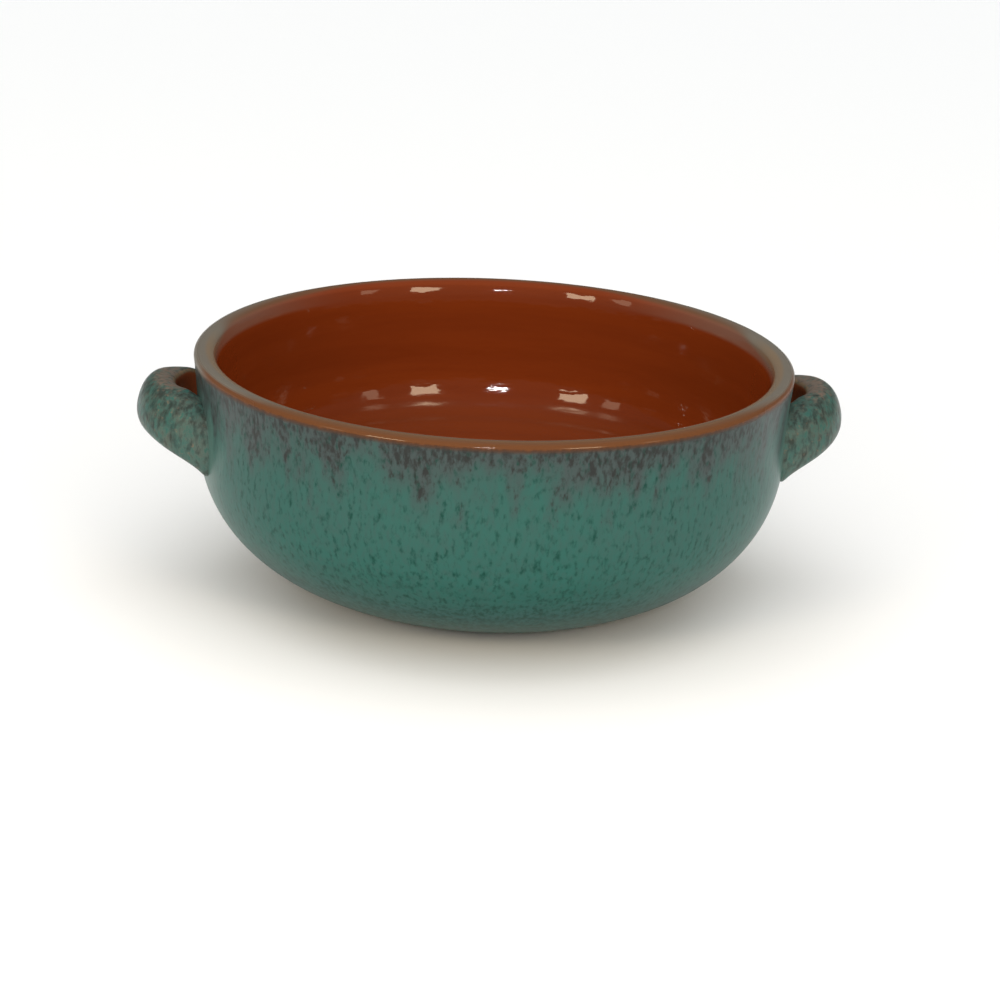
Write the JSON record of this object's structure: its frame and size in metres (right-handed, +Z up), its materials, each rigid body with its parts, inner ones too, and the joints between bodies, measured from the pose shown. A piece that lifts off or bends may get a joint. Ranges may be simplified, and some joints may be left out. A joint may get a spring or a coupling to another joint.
{
  "type": "cazuela",
  "caption": "Round terracotta cooking bowl with an upright wall, rounded lip, low foot ring and a loop handle luted on at each side, glazed inside and out.",
  "frame": {"origin": "centre of the foot, on the surface that the bowl stands on", "axes": "+Z up along the bowl's turning axis, handles along X, handle_right on +X"},
  "size_m": [0.2376, 0.2, 0.0814],
  "materials": {
    "bowl_glaze": "satin reactive teal glaze outside, glossy clear glaze on terracotta inside, bare foot",
    "handle_glaze": "satin reactive teal glaze, breaking to brown on the edges"
  },
  "bodies": {
    "root": {"bowl": "bowl_glaze", "handle_left": "handle_glaze", "handle_right": "handle_glaze"}
  },
  "joints": []
}
